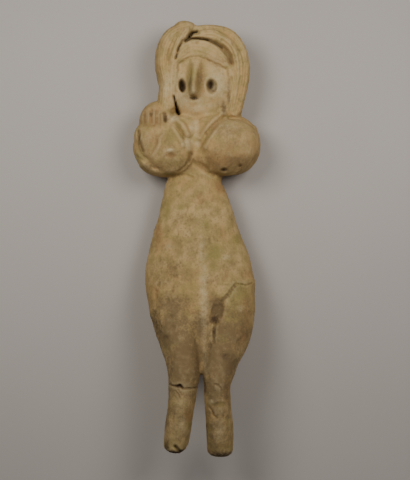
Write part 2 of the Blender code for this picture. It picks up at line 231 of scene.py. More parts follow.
# A lump is its centre, its three half sizes and its turn about Z in degrees.
LUMPS = {
    "skull": ((1.2, 40.6, 6.8), (8.4, 9.8, 6.0), 0),
    "face": ((1.3, 38.4, 7.8), (8.8, 9.4, 5.5), 0),
    "forehead": ((0.7, 43.2, 8.4), (6.8, 4.4, 4.6), 0),
    "chin": ((0.9, 33.2, 7.6), (6.0, 4.6, 4.7), 0),
    "bridge of the nose": ((-0.6, 39.4, 11.6), (2.4, 5.0, 2.6), 0),
    "left corner of the neck": ((6.7, 31.0, 9.2), (1.5, 1.6, 2.6), 0),
    "back of the hair": ((0.2, 42.6, 4.6), (11.0, 11.2, 4.9), 0),
    "knot of hair": ((-3.1, 53.1, 9.4), (2.9, 1.7, 3.6), -4),
    "chest": ((-0.3, 25.2, 7.2), (8.6, 8.0, 5.2), 0),
    "right shoulder": ((-9.4, 22.8, 6.4), (7.0, 7.6, 6.2), 0),
    "left shoulder": ((9.2, 23.2, 6.4), (7.2, 7.8, 6.2), 0),
    "right breast": ((-6.6, 21.2, 9.8), (6.6, 6.2, 5.4), -14),
    "left breast": ((8.0, 22.4, 9.8), (8.0, 7.2, 6.4), 20),
    "right of the chest": ((-3.9, 26.0, 8.6), (5.6, 4.6, 5.0), 38),
    "left of the chest": ((3.9, 26.4, 8.6), (5.8, 4.8, 5.2), -38),
    "inside of the right breast": ((-2.6, 20.6, 9.4), (3.4, 3.4, 3.8), -20),
    "inside of the left breast": ((1.8, 20.4, 9.4), (3.6, 3.2, 3.8), 30),
    "underside of the left breast": ((2.7, 18.9, 8.9), (4.4, 2.3, 4.5), -31),
    "right fist": ((-10.7, 29.4, 8.2), (4.3, 5.0, 5.6), -18),
    "right wrist": ((-11.1, 25.2, 8.6), (5.3, 4.6, 4.9), 0),
    "pad of the right hand": ((-12.1, 23.6, 10.6), (3.1, 4.5, 3.4), 8),
    "right buttock": ((-5.6, -10.6, 5.2), (7.4, 8.6, 5.8), 0),
    "left buttock": ((6.8, -10.6, 5.2), (7.4, 8.6, 5.8), 0),
}

# A groove is its half width, its depth and the places it runs through, seen from the
# front. A negative depth raises a ridge.
GROOVES = [
    # The gap between the hair and the fringe, and the strands' own grooves.
    (0.45, 3.4, [(-3.0, 49.4), (-1.8, 49.9)]),
    (0.4, 2.4, [(-2.2, 50.1), (-1.6, 50.8)]),
    (0.3, 3.2, [(-2.4, 49.9), (0.2, 49.9), (2.7, 49.5)]),
    (0.4, 1.5, [(2.7, 49.5), (4.7, 48.6), (6.3, 47.6)]),
    (0.62, 1.0, [(6.3, 47.6), (8.2, 45.6), (8.6, 43.8)]),
    (0.3, 2.2, [(-2.5, 50.0), (-1.9, 51.1), (-1.4, 51.6), (-0.1, 51.8)]),
    (0.3, 1.0, [(-3.7, 49.3), (-4.7, 47.6), (-5.0, 46.6)]),
    (0.28, 0.8, [(-5.2, 46.0), (-5.5, 44.8)]),
    (0.5, 0.25, [(-4.2, 52.2), (-5.7, 49.9), (-7.0, 47.3), (-7.8, 44.5)]),
    (0.5, 0.35, [(6.0, 51.4), (8.6, 49.6), (10.4, 47.3), (11.1, 42.6), (10.6, 36.9), (9.6, 31.3)]),
    (0.35, 0.25, [(6.3, 49.4), (8.3, 47.6), (9.4, 45.3), (9.8, 42.0), (9.1, 35.6), (8.6, 32.3)]),
    (0.6, 0.44, [(8.6, 39.6), (8.1, 36.3), (7.3, 33.5)]),
    (0.35, 0.4, [(10.9, 35.6), (10.3, 33.2), (9.7, 31.2)]),
    (0.2, 0.44, [(0.0, 49.8), (0.0, 48.2)]),
    # The lower edge of the fringe, which is deeper over the left eye.
    (0.35, 0.15, [(-5.6, 42.8), (-4.2, 43.8), (-2.6, 44.5), (-0.1, 44.9), (2.4, 44.4)]),
    (0.35, 0.3, [(2.4, 44.4), (4.5, 43.2), (6.8, 42.2), (8.3, 42.6)]),
    # The pinched sides of the nose, the nostrils, the gaps beside the chin and the lines under it.
    (0.9, 0.35, [(-2.7, 42.5), (-2.9, 38.4)]),
    (1.0, 0.4, [(1.4, 42.5), (1.2, 37.0)]),
    (0.35, 0.5, [(-1.6, 34.7), (-1.0, 34.4), (-0.2, 34.7)]),
    (0.25, 1.8, [(-6.0, 35.3), (-5.6, 33.3), (-5.2, 32.0)]),
    (0.4, 2.4, [(-5.4, 32.4), (-4.8, 31.1)]),
    (0.6, 0.4, [(6.9, 33.2), (6.4, 31.6)]),
    (0.4, 0.18, [(-4.2, 30.6), (-2.4, 30.0), (1.0, 29.8), (3.4, 30.2), (5.2, 31.0)]),
    (0.2, 0.25, [(1.2, 28.8), (3.0, 28.7)]),
    (0.2, 0.12, [(0.7, 27.6), (2.2, 28.1)]),
    # The crossed bands over the chest.
    (0.85, -0.85, [(-6.7, 30.1), (-5.4, 29.7), (-4.2, 28.3), (-3.1, 26.8), (-2.4, 25.3)]),
    (0.35, 0.3, [(-3.9, 29.6), (-2.6, 28.1), (-1.9, 26.3), (-1.4, 25.0)]),
    (0.4, 0.4, [(-6.2, 28.6), (-4.9, 27.1), (-3.9, 25.5), (-3.4, 24.3)]),
    (0.75, -0.75, [(-7.4, 28.0), (-6.2, 26.8), (-5.2, 25.5), (-4.2, 24.3), (-3.6, 22.5)]),
    (1.0, -0.45, [(-2.4, 23.4), (-2.3, 21.8)]),
    (0.8, -0.75, [(6.0, 30.9), (4.5, 29.3), (3.0, 27.6), (1.7, 26.0), (0.7, 24.5)]),
    (0.5, 0.44, [(6.3, 29.6), (4.5, 28.3), (3.2, 26.8), (2.2, 25.5)]),
    (0.8, -0.8, [(7.3, 29.0), (5.6, 27.4), (4.2, 25.8), (3.1, 24.1), (1.9, 22.0)]),
    (0.5, 0.9, [(-1.5, 20.4), (-2.0, 18.8)]),
    (0.3, 0.25, [(-1.5, 20.6), (0.2, 21.3)]),
    (0.35, 0.4, [(-1.4, 19.2), (-0.3, 17.8), (2.0, 16.2), (4.2, 14.9)]),
    (0.35, 0.4, [(-2.0, 18.8), (-3.0, 17.4), (-4.9, 16.0)]),
    # The right hand's fingers, the pad under them and the folds of the forearms.
    (0.4, 0.3, [(-13.5, 31.2), (-13.6, 28.6)]),
    (0.4, 0.4, [(-11.8, 31.6), (-11.8, 28.4)]),
    (0.4, 0.4, [(-10.3, 31.4), (-10.2, 27.8)]),
    (0.35, 0.3, [(-9.3, 30.4), (-9.3, 27.2)]),
    (0.8, -0.65, [(-7.4, 28.0), (-8.5, 26.0), (-9.5, 24.3), (-9.7, 22.7), (-10.5, 21.2), (-11.5, 19.9)]),
    (0.4, 0.9, [(-15.1, 26.4), (-14.9, 24.1), (-14.4, 22.6), (-13.9, 21.3)]),
    (0.4, 0.8, [(-8.3, 30.7), (-8.0, 28.9)]),
    (0.4, 0.4, [(-15.5, 19.8), (-14.2, 19.1), (-12.9, 18.3)]),
    (0.35, 0.35, [(-11.9, 17.2), (-10.1, 16.8)]),
    (0.3, 0.35, [(-6.5, 14.5), (-4.5, 15.2), (-2.7, 15.2), (-1.1, 14.5)]),
    # The fold between the thighs and the notch at the right foot's toes.
    (1.0, 0.5, [(1.0, -34.6), (1.0, -28.0), (1.1, -22.0)]),
    (0.4, 0.4, [(0.9, -37.0), (1.0, -34.6)]),
    (0.35, 0.8, [(-5.4, -52.2), (-4.5, -53.3), (-3.5, -54.2)]),
    (0.35, -0.15, [(7.2, -5.9), (8.8, -7.0), (10.8, -7.5), (13.3, -9.2)]),
]
CRACKS = [
    (0.16, 0.8, [(-7.4, -36.8), (-5.9, -37.0), (-5.0, -37.2)]),
    (0.16, 0.7, [(-4.2, -37.2), (-3.0, -37.7), (0.0, -37.7)]),
    (0.2, 1.2, [(-4.9, -37.2), (-4.3, -36.9), (-3.8, -37.1), (-3.4, -37.5)]),
    (0.16, 0.5, [(13.8, -12.5), (12.3, -12.8), (10.8, -12.5), (9.8, -12.5)]),
    (0.42, 0.44, [(9.8, -12.5), (8.9, -13.4), (8.1, -14.7), (7.0, -15.7), (6.2, -16.6)]),
    (0.4, 0.44, [(4.4, -22.4), (4.2, -24.0), (4.0, -26.6)]),
    (0.14, 0.2, [(-5.2, -38.2), (-4.0, -40.2)]),
    (0.14, 0.2, [(-4.8, -37.8), (-3.6, -39.2)]),
    (0.14, 0.3, [(4.1, -36.6), (5.2, -36.6), (5.9, -37.6), (6.3, -38.2)]),
    (0.25, 0.35, [(2.9, -42.4), (3.7, -43.4), (4.0, -44.4), (4.8, -45.0)]),
    (0.16, 0.25, [(3.0, -48.4), (3.6, -47.0)]),
]

# A spot is its centre, its two half sizes, its turn in degrees, its depth and how
# steep its wall is. A negative depth raises it.
EYES = [
    ((-3.9, 38.0), (0.85, 1.6), 8, 2.9, 5),
    ((3.7, 37.6), (1.25, 1.75), -6, 1.25, 5),
    ((3.2, 38.2), (0.8, 1.15), -6, 1.7, 4),
]
SPALL_ON_THE_LEFT_THIGH = [
    ((5.0, -19.2), (1.5, 3.2), -20, 0.45, 5),
    ((4.2, -21.6), (0.9, 0.7), 0, 0.35, 2),
]
DENTS_AND_PITS = [
    ((9.6, -20.4), (3.8, 6.6), -8, -0.2, 8),
    ((-6.6, 20.0), (0.9, 0.7), 0, 0.4, 2),
    ((-7.1, 21.3), (0.9, 0.35), 10, -0.2, 2),
    ((-13.6, 25.2), (0.9, 0.7), 30, 0.15, 3),
    ((6.7, 16.4), (0.7, 0.4), 0, 0.8, 2),
    ((10.8, 17.4), (0.45, 0.35), 0, 0.5, 2),
    ((-5.8, -8.6), (0.5, 0.4), 0, 0.35, 2),
    ((-3.8, -8.1), (0.4, 0.35), 0, 0.3, 2),
    ((-5.5, -10.8), (0.5, 0.4), 0, 0.4, 2),
    ((-9.7, -12.4), (0.4, 0.8), 0, 0.35, 2),
    ((-8.2, -12.7), (0.5, 0.4), 30, 0.3, 2),
    ((-6.2, -14.1), (0.35, 0.7), -20, 0.35, 2),
    ((-10.3, -14.3), (0.45, 0.4), 0, 0.35, 2),
    ((-10.4, -15.5), (0.4, 0.5), 0, 0.3, 2),
    ((-7.4, -16.5), (0.45, 0.45), 0, 0.3, 2),
    ((-4.6, -12.4), (0.3, 0.4), 0, 0.25, 2),
    ((-6.4, -20.5), (0.5, 0.45), 0, 0.35, 2),
    ((-4.4, -21.5), (0.45, 0.6), -30, 0.35, 2),
    ((-5.9, -23.0), (0.55, 0.45), 0, 0.35, 2),
    ((-5.1, -18.5), (0.4, 0.4), 0, 0.2, 2),
    ((-5.2, 5.5), (0.4, 0.35), 0, 0.2, 2),
    ((1.2, 6.7), (0.6, 0.25), 0, 0.2, 2),
    ((2.2, 4.7), (0.35, 0.25), 0, 0.15, 2),
    ((-4.4, 6.9), (0.9, 0.6), 20, 0.2, 2),
    ((3.2, -27.4), (0.5, 0.6), 0, 0.3, 2),
    ((10.8, -26.0), (1.1, 0.4), 40, 0.2, 2),
    ((5.3, -41.6), (1.3, 0.7), 8, 0.25, 3),
    ((5.7, -43.4), (0.9, 1.1), 0, -0.1, 2),
    ((3.5, -40.9), (0.7, 0.4), -40, -0.15, 2),
    ((6.4, -44.6), (0.3, 0.35), 0, 0.25, 2),
]
SPOTS = EYES + SPALL_ON_THE_LEFT_THIGH + DENTS_AND_PITS

# Grooves deeper than shallow are darkened with painted shade, fully from deep on.
SHALLOW = 0.45
DEEP = 1.6

# How far a crack strays from its line, and how fast a painted patch fades outwards.
CRACK_STRAY = 0.18
PATCH_FADE = 0.7

# Patches reach round the sides until the skin faces this far down.
REACH_ROUND_THE_SIDES = 0.7

# What is pressed into the front fades out as the skin turns away, from this share up.
FULL_PRESS = 0.5

# How many half widths a groove's slope and its painted shade reach from its line.
SLOPE_REACH = 4
SHADE_REACH = 3

# Where the comb ran along a roll, as shares of its half width.
COMBED = [
    (RIGHT_TRESS, (-0.8, -0.5, -0.2, 0.12, 0.42)),
    (STRAND_BY_THE_RIGHT_CHEEK, (-0.4, 0.4)),
    (OUTER_STRAND, (-0.5, 0.1, 0.65)),
    (MIDDLE_STRAND, (-0.35, 0.35)),
    (STRAND_BY_THE_LEFT_CHEEK, (0.0,)),
    (FRINGE, (-0.75, -0.4, -0.05, 0.3, 0.65)),
]
COMB_HALF_WIDTH = 0.2

# How hard the comb pressed, as shares of its depth.
LIGHTEST_PRESS = 0.2
USUAL_PRESS = 0.8
HARDEST_PRESS = 1.4

# A chip is its centre, its three half sizes and its depth.
CHIPS = [
    ((-11.0, -22.4, 14.5), (1.8, 2.6, 4.0), 0.5),
    ((-10.0, -24.2, 16.5), (1.2, 1.6, 2.5), 0.4),
    ((14.2, 19.0, 9.0), (1.8, 1.6, 3.0), 0.35),
    ((-16.2, 19.0, 8.5), (1.4, 2.0, 3.0), 0.35),
    ((10.2, -26.5, 14.0), (1.6, 3.0, 3.5), 0.35),
    ((-2.2, -54.2, 18.0), (1.6, 1.4, 5.0), 0.6),
]

# A chip fades out at this share of its half sizes, and broken clay is this rough.
CHIP_EDGE = 1.4
RUBBLE_HEIGHT = 0.3

# Noise above the first level makes a pit, and pits crowd where slow noise is above the second.
PIT_LEVEL = 0.42
CROWD_LEVEL = -0.3
PIT_STEEPNESS = 4

# A patch of colour is its centre and half sizes, seen from the front, and its strength.
# Where patches of one colour overlap, the stronger one shows.
# Besides stains, many patches are painted shade or painted highlights; the notes in the lists say which.
PATCHES = {
    "umber": [
        # Partly darker clay, mostly painted shade: on the knees, thighs, shins and lower belly, down the
        # outer side of the right hip and leg, in the fold between the thighs, along the step on the left hip,
        # by the left cheek and chin, on the nose and its sides, on the breasts and under them, and on the
        # right hand and forearm.
        ((-3.2, -32.0), (5.0, 8.4), 1.1),
        ((5.6, -30.8), (4.6, 5.4), 1.2),
        ((4.8, -37.2), (2.7, 4.6), 1.2),
        ((1.0, -30.0), (0.9, 6.0), 0.5),
        ((9.6, -16.6), (2.6, 2.6), 0.4),
        ((6.8, -28.4), (3.6, 3.2), 0.85),
        ((5.6, -39.5), (2.6, 2.0), 0.9),
        ((9.4, -13.0), (0.6, 0.6), 0.8),
        ((8.8, -13.7), (0.6, 0.6), 0.8),
        ((8.2, -14.5), (0.6, 0.6), 0.8),
        ((7.6, -15.2), (0.6, 0.6), 0.8),
        ((7.0, -15.8), (0.6, 0.6), 0.8),
        ((6.4, -16.4), (0.6, 0.6), 0.8),
        ((10.8, -26.0), (1.3, 0.9), 0.8),
        ((8.0, 36.2), (0.5, 3.4), 0.8),
        ((6.8, 32.2), (0.5, 1.8), 1.0),
        ((1.0, 39.2), (1.2, 4.0), 0.55),
        ((-1.7, 37.4), (0.6, 2.8), 0.7),
        ((-1.0, 37.6), (1.3, 2.2), 0.5),
        ((4.3, 37.0), (0.9, 1.2), 0.8),
        ((-4.4, -45.0), (4.0, 11.0), 0.55),
        ((-7.4, -41.0), (1.3, 12.0), 0.75),
        ((5.2, -46.5), (4.0, 11.0), 0.7),
        ((4.6, -38.5), (2.6, 3.4), 0.6),
        ((-10.0, -21.0), (3.0, 6.0), 0.6),
        ((-6.2, -24.4), (4.8, 4.6), 1.1),
        ((-6.0, -18.6), (5.0, 4.4), 0.85),
        ((1.0, -23.0), (4.2, 5.0), 0.85),
        ((8.0, -24.6), (5.6, 4.6), 0.95),
        ((9.0, -20.0), (5.0, 4.5), 0.65),
        ((3.5, -17.5), (3.5, 4.0), 0.6),
        ((-7.0, -10.0), (6.0, 4.6), 0.56),
        ((3.5, -11.5), (3.0, 5.0), 0.45),
        ((-12.0, 17.4), (3.0, 1.0), 0.6),
        ((5.0, -19.3), (1.7, 3.1), 1.15),
        ((0.0, -2.0), (14.0, 18.0), 0.38),
        ((7.6, 23.0), (6.6, 5.4), 0.34),
        ((-6.4, 21.5), (4.5, 4.5), 0.42),
        ((8.0, 26.6), (5.0, 3.0), 0.5),
        ((0.0, -5.5), (15.0, 8.0), 0.3),
        ((10.0, -14.5), (5.0, 7.0), 0.45),
        ((7.0, -8.5), (6.0, 5.0), 0.42),
        ((-11.2, 30.0), (4.0, 2.6), 0.35),
        ((-12.2, 23.6), (2.4, 2.4), 0.4),
        ((-6.0, 17.6), (6.0, 2.0), 0.6),
        ((8.0, 18.4), (8.0, 2.6), 0.5),
    ],
    "rust": [
        ((-11.6, 29.4), (3.2, 3.2), 0.75),
        ((-11.6, 24.0), (3.2, 4.0), 0.5),
        ((-10.6, 25.9), (1.6, 1.0), 0.4),
        ((-10.5, 17.6), (3.5, 1.4), 0.5),
        ((-6.6, 20.0), (1.2, 0.9), 0.9),
        ((7.5, 18.6), (7.5, 2.6), 0.75),
        # Painted shade on the left breast.
        ((9.5, 20.8), (6.0, 4.6), 0.45),
        ((14.5, 20.0), (2.2, 4.0), 0.5),
        ((5.9, 12.3), (1.8, 1.4), 0.8),
        ((0.7, 8.9), (1.8, 1.6), 0.5),
        ((-10.0, 0.6), (1.0, 3.0), 0.7),
        ((6.5, 0.6), (1.0, 2.4), 0.4),
        ((7.2, -10.3), (1.0, 1.6), 0.5),
        ((12.0, -9.6), (2.0, 2.0), 0.35),
        ((12.2, -21.0), (1.6, 5.5), 0.6),
        ((11.0, -25.2), (1.8, 2.2), 1.0),
        ((7.2, -28.0), (3.2, 0.8), 0.5),
        ((4.8, -29.9), (2.2, 1.3), 0.4),
        ((-9.8, -25.6), (1.2, 1.2), 0.8),
        ((-3.0, -31.0), (3.4, 6.0), 0.6),
        ((-0.7, -29.2), (0.5, 1.8), 0.8),
        ((-1.3, -33.0), (0.5, 1.2), 0.6),
        ((7.9, -32.0), (0.9, 4.5), 0.9),
        ((7.2, -37.5), (1.2, 3.0), 0.8),
        ((7.6, -40.6), (0.6, 1.4), 0.7),
        ((-2.2, -44.6), (0.9, 1.6), 0.8),
        ((3.9, -43.6), (0.7, 1.6), 0.7),
        ((5.0, -19.3), (1.7, 3.1), 1.0),
        ((-10.4, -14.4), (1.0, 2.0), 0.6),
        ((-6.0, -14.0), (0.8, 1.4), 0.4),
        # Painted shade, warm: in the gap beside the chin on its left and along the groove by the left cheek.
        ((6.8, 32.6), (0.6, 1.8), 0.5),
        ((8.0, 36.5), (0.6, 3.2), 0.6),
        ((4.6, 44.2), (3.4, 1.2), 0.4),
        ((-5.6, 52.4), (2.2, 1.2), 0.4),
        ((-10.6, 44.0), (0.8, 6.0), 0.4),
        ((12.6, 44.0), (0.9, 6.0), 0.35),
        # Painted shade on the nose's left side.
        ((1.0, 40.0), (0.9, 4.4), 0.45),
        ((4.4, 27.2), (0.7, 2.0), 0.6),
    ],
    "olive": [
        ((-6.7, 24.4), (1.6, 2.0), 0.7),
        ((-4.9, 27.0), (0.8, 1.8), 0.5),
        ((-11.5, 28.4), (1.4, 1.2), 0.6),
        ((-12.2, 22.6), (1.8, 1.2), 0.6),
        ((-6.5, 18.2), (3.4, 1.2), 0.6),
        ((-14.8, 20.0), (1.4, 2.4), 0.6),
        ((-8.2, 6.5), (1.8, 4.0), 0.6),
        ((-5.6, -0.8), (2.2, 1.0), 0.5),
        ((-4.4, 6.8), (1.1, 0.7), 0.8),
        ((2.0, 2.6), (1.6, 3.4), 0.6),
        ((4.2, -4.6), (2.6, 2.6), 1.0),
        ((3.9, -8.0), (1.4, 1.8), 0.7),
        ((9.6, -1.6), (1.6, 1.6), 0.8),
        ((10.4, -14.4), (2.8, 2.4), 1.0),
        ((8.9, -19.5), (3.8, 5.8), 0.75),
        ((6.3, -25.6), (1.6, 1.2), 0.9),
        ((-6.8, -27.8), (1.7, 1.4), 0.8),
        ((-5.9, -26.6), (1.2, 1.2), 0.8),
        ((-3.8, -14.0), (1.6, 1.6), 0.5),
        ((5.2, -41.5), (1.4, 0.7), 0.9),
        ((5.0, -38.0), (1.6, 1.6), 0.4),
        ((-2.0, -47.0), (0.7, 2.0), 0.6),
        ((2.9, -48.2), (0.6, 2.4), 0.6),
        ((7.6, -46.6), (0.6, 1.8), 0.5),
        ((-5.0, -52.6), (3.0, 1.4), 0.5),
        ((5.6, -52.6), (3.2, 1.4), 0.6),
        # Painted shade on the nose's right side.
        ((-1.5, 39.6), (1.2, 3.6), 0.75),
    ],
    "pale": [
        # Painted highlight down the middle of the lower belly and along the inner edge of the left thigh.
        ((1.7, -15.5), (1.1, 12.0), 0.45),
        ((1.2, -5.0), (0.8, 7.0), 0.35),
        ((2.0, -31.0), (0.6, 4.4), 0.45),
        ((-4.4, 38.4), (2.0, 6.0), 0.5),
        ((5.4, 38.4), (3.2, 6.0), 0.5),
        ((0.6, 34.0), (6.0, 2.4), 0.4),
        ((-6.2, 29.8), (1.3, 1.0), 0.9),
        ((-0.6, 27.0), (1.4, 2.2), 0.6),
        ((-2.3, 23.2), (1.3, 1.6), 0.6),
        ((0.2, 23.0), (0.8, 1.0), 0.5),
        ((-13.2, 25.5), (0.8, 0.4), 0.35),
        ((-14.3, 24.5), (0.4, 0.9), 0.35),
        ((-7.2, 21.2), (1.0, 0.4), 0.8),
        ((-7.6, 37.5), (1.6, 5.0), 0.5),
        ((0.8, 32.8), (4.4, 2.4), 0.45),
        # Painted light on the shaded right side of the chin.
        ((-3.6, 34.2), (2.2, 2.6), 0.6),
        ((-5.4, 34.6), (0.9, 2.2), 0.6),
        ((-7.0, -3.2), (1.4, 1.4), 0.4),
        ((7.4, -5.8), (1.2, 0.8), 0.4),
        ((-4.6, -42.6), (1.6, 3.0), 0.2),
        ((5.6, -43.2), (0.9, 0.9), 0.2),
        ((3.4, -40.9), (0.6, 0.6), 0.5),
        ((3.0, -24.0), (0.6, 2.0), 0.25),
        ((11.0, -18.6), (1.2, 0.9), 0.4),
        ((-3.6, -46.5), (1.2, 2.6), 0.35),
        ((5.2, -48.4), (1.6, 2.6), 0.35),
        ((9.0, 27.0), (3.0, 2.0), 0.25),
    ],
    "soot": [
        # Dark marks on the chips, the spall and its cracks.
        ((-10.6, -22.2), (1.2, 2.2), 0.45),
        ((-7.8, -25.4), (0.9, 0.6), 0.5),
        ((4.2, -21.4), (1.0, 0.9), 0.85),
        ((5.9, -17.2), (0.6, 0.8), 0.5),
        ((6.0, -18.2), (0.4, 1.8), 0.25),
        ((4.1, -24.6), (0.4, 2.0), 0.7),
        ((3.0, -27.5), (0.6, 0.7), 0.45),
        ((6.9, -30.0), (0.9, 1.0), 0.6),
        # Painted shade under the nose, in the pits under the left breast and in the eye holes.
        ((-0.9, 34.6), (1.1, 0.4), 0.85),
        ((6.7, 16.4), (0.8, 0.4), 0.8),
        ((10.8, 17.4), (0.5, 0.4), 0.5),
        ((-3.7, 38.0), (0.55, 1.2), 0.8),
        ((3.4, 38.4), (0.75, 1.0), 0.65),
        ((-7.6, -52.6), (0.9, 1.6), 0.6),
        # Painted shade along the left leg's inner edge and across the ends of both feet.
        ((1.7, -37.4), (0.6, 2.6), 0.7),
        ((2.3, -48.6), (0.5, 3.6), 0.5),
        ((-5.4, -54.0), (3.2, 0.8), 0.9),
        ((5.6, -54.2), (3.6, 0.9), 0.75),
        ((-8.1, 29.8), (0.5, 1.2), 0.7),
        ((-14.8, 24.2), (0.4, 2.0), 0.5),
        # Painted shade in the hole of the crack across the right shin.
        ((-4.5, -37.0), (0.8, 0.4), 0.9),
        ((-11.8, 30.6), (0.4, 0.7), 0.5),
    ],
}

# How many cells of each noise in the clay's colour and skin there are to a millimetre.
CLOUDS_PER_MM = 0.11
BLUSH_PER_MM = 0.27
MOTTLE_PER_MM = 0.42
SMUDGES_PER_MM = 1.0
GRAIN_PER_MM = 2.2

# A Mix node has sockets of one name for every kind of value. These are those for colours.
COLOUR_MIX_INPUTS = (0, 6, 7)
COLOUR_MIX_RESULT = 2

# The camera's sensor in millimetres, and the nearest that it sees in metres.
SENSOR_WIDTH = 36
NEAREST_SEEN = 0.01


def through(stations):
    """More stations, on the smooth curve through the given ones."""
    rows = np.array(stations, float)
    rows = np.vstack([2 * rows[0] - rows[1], rows, 2 * rows[-1] - rows[-2]])
    curve = []
    for before, start, end, after in zip(rows, rows[1:], rows[2:], rows[3:]):
        for t in np.linspace(0, 1, STEPS_BETWEEN_STATIONS, endpoint=False):
            line = 2 * start + (end - before) * t
            bend = (2 * before - 5 * start + 4 * end - after) * t**2
            twist = (3 * start - before - 3 * end + after) * t**3
            curve.append((line + bend + twist) / 2)
    return [*curve, rows[-2]]


def rounded_end(last, inner):
    """Shrinking stations that close a roll in a dome past its last station."""
    outward = (last[:3] - inner[:3]) / np.linalg.norm(last[:3] - inner[:3])
    reach = last[3:].min() * BLUNTNESS
    dome = []
    for ring in range(1, ROUNDING_RINGS + 1):
        angle = ROUNDING_ANGLE * ring / ROUNDING_RINGS
        centre = last[:3] + outward * reach * math.sin(angle)
        dome.append(np.append(centre, last[3:] * math.cos(angle)))
    return dome


def add_ring(clay, station, heading):
    """An upright ellipse of clay across the heading, as its edges."""
    across = Vector((0, 0, 1)).cross(heading)
    place = Matrix.Identity(4)
    place.col[0].xyz = across * station[3] * MM
    place.col[1].xyz = (0, 0, station[4] * MM)
    place.col[2].xyz = heading * MM
    place.col[3].xyz = Vector(station[:3]) * MM
    made = bmesh.ops.create_circle(clay, segments=SIDES_OF_A_ROLL, radius=1, matrix=place)
    return list({edge for vert in made["verts"] for edge in vert.link_edges})


def add_roll(clay, stations):
    """A rolled length of clay along its stations, domed at both ends."""
    body = through(stations)
    start = rounded_end(body[0], body[1])
    end = rounded_end(body[-1], body[-2])
    path = [*reversed(start), *body, *end]
    rings = []
    for index, station in enumerate(path):
        ahead = path[min(index + 1, len(path) - 1)]
        behind = path[max(index - 1, 0)]
        heading = Vector((ahead[0] - behind[0], ahead[1] - behind[1], 0)).normalized()
        rings.append(add_ring(clay, station, heading))
    for ring, following in zip(rings, rings[1:]):
        bmesh.ops.bridge_loops(clay, edges=ring + following)
    for ring in (rings[0], rings[-1]):
        bmesh.ops.contextual_create(clay, geom=ring)


def add_lump(clay, centre, half_sizes, turn):
    """A ball of clay pressed to its three half sizes."""
    place = Matrix.Translation(Vector(centre) * MM)
    place = place @ Matrix.Rotation(math.radians(turn), 4, "Z")
    place = place @ Matrix.Diagonal((*(size * MM for size in half_sizes), 1))
    bmesh.ops.create_icosphere(clay, subdivisions=ROUNDS_OF_A_LUMP, radius=1, matrix=place)


def new_object(name, mesh_maker):
    """An object in the scene that holds what a bmesh made."""
    mesh = bpy.data.meshes.new(name)
    mesh_maker.to_mesh(mesh)
    mesh_maker.free()
    made = bpy.data.objects.new(name, mesh)
    bpy.context.scene.collection.objects.link(made)
    return made


def settle(piece):
    """Turns what the piece's modifiers make into its own mesh."""
    graph = bpy.context.evaluated_depsgraph_get()
    skin = bpy.data.meshes.new_from_object(piece.evaluated_get(graph))
    piece.modifiers.clear()
    before = piece.data
    piece.data = skin
    bpy.data.meshes.remove(before)
    skin.name = piece.name


def vectors_of(mesh, name):
    """The places or the normals of a mesh's vertices, as rows of x, y and z."""
    values = np.empty(len(mesh.vertices) * 3, np.float32)
    mesh.vertices.foreach_get(name, values)
    return values.reshape(-1, 3).astype(float)


def put_places(mesh, places):
    """Moves a mesh's vertices to the given places."""
    mesh.vertices.foreach_set("co", places.astype(np.float32).ravel())
    mesh.update()


def distance_to_line(places, line, reach):
    """How far each place is from a line of points, seen from the front, up to a reach."""
    line = np.array(line)
    nearest = np.full(len(places), np.inf)
    inside = (places > line.min(axis=0) - reach) & (places < line.max(axis=0) + reach)
    near = np.flatnonzero(inside.all(axis=1))
    found = np.full(len(near), np.inf)
    for start, end in zip(line, line[1:]):
        run = end - start
        share = np.clip((places[near] - start) @ run / (run @ run), 0, 1)
        gap = places[near] - start - share[:, None] * run
        found = np.minimum(found, np.linalg.norm(gap, axis=1))
    nearest[near] = found
    return nearest


def turned_ellipse(places, centre, half_sizes, turn=0):
    """How far out each place lies from an ellipse's centre: 1 is on the ellipse."""
    angle = math.radians(turn)
    across = np.array([math.cos(angle), math.sin(angle)])
    along = np.array([-math.sin(angle), math.cos(angle)])
    gap = places - np.array(centre)
    return np.hypot(gap @ across / half_sizes[0], gap @ along / half_sizes[1])


def rough(places, size, seed, octaves=3):
    """Seeded noise from about -1 to 1 at each place, with lumps of that size."""
    shift = Vector((seed * 17.3, seed * -9.1, seed * 4.7))
    return np.array([noise.fractal(Vector(row) / size + shift, 0.8, 2.1, octaves) for row in places])


def comb_lines():
    """The lines that the comb drew along the rolls of hair."""
    for roll, shares in COMBED:
        path = np.array(through(roll))
        heading = np.gradient(path[:, :2], axis=0)
        heading /= np.linalg.norm(heading, axis=1)[:, None]
        aside = heading @ np.array([[0, 1], [-1, 0]])
        for share in shares:
            yield path[:, :2] + aside * path[:, 3:4] * share


def carve(mesh, sizes):
    """Presses grooves, comb lines, cracks and spots into the front."""
    places = vectors_of(mesh, "co")
    seen = places[:, :2] / MM
    facing = np.clip(vectors_of(mesh, "normal")[:, 2] / FULL_PRESS, 0, 1)
    wander = rough(places / MM, size=1.3, seed=1)
    pressed = np.zeros(len(places))
    raised = np.zeros(len(places))
    jagged = seen + CRACK_STRAY * np.column_stack([wander, np.roll(wander, 1)])
    for where, lines in ((seen, GROOVES), (jagged, CRACKS)):
        for half_width, depth, line in lines:
            away = distance_to_line(where, line, SLOPE_REACH * half_width)
            profile = np.exp(-((away / half_width) ** 2))
            if depth > 0:
                pressed = np.maximum(pressed, depth * profile)
            else:
                raised = np.maximum(raised, -depth * profile)
    pressed -= raised
    for line in comb_lines():
        away = distance_to_line(seen, line, SLOPE_REACH * COMB_HALF_WIDTH)
        drawn = sizes.comb_depth / TRUE_MM * np.clip(USUAL_PRESS + wander, LIGHTEST_PRESS, HARDEST_PRESS)
        pressed += drawn * np.exp(-((away / COMB_HALF_WIDTH) ** 2))
    for centre, half_sizes, turn, depth, steepness in SPOTS:
        out = turned_ellipse(seen, centre, half_sizes, turn)
        pressed += depth * np.exp(-(out**steepness))
    places[:, 2] -= pressed * facing * MM
    put_places(mesh, places)


